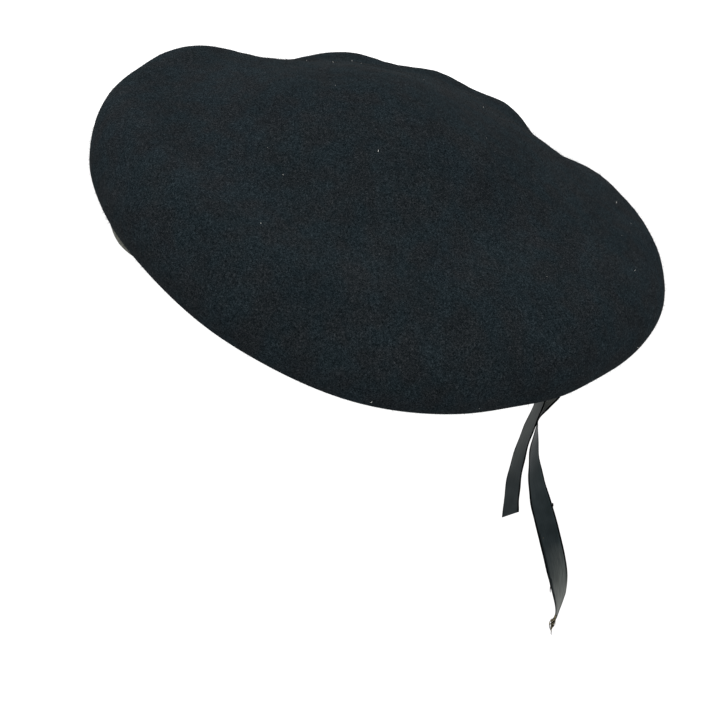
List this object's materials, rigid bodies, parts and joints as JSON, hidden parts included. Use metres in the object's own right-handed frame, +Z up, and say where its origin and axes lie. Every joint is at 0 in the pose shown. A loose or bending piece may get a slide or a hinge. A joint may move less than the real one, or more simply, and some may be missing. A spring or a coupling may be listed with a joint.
{
  "type": "military beret",
  "caption": "Black wool felt beret, pulled down on the wearer's left, with a leather bound head opening and two ribbon ties hanging at the back.",
  "frame": {"origin": "centre of the head opening, in the plane of its lower edge", "axes": "+Z up along the standing wearer's head, -Y towards the front of the head, +X towards the wearer's left"},
  "size_m": [0.221, 0.259, 0.2847],
  "materials": {
    "felt": "brushed wool felt, matt",
    "leather": "thin dull leather, slightly shiny",
    "satin": "satin ribbon"
  },
  "bodies": {
    "root": {"crown": "felt", "headband": "leather", "tie_long": "satin", "tie_short": "satin"}
  },
  "joints": []
}
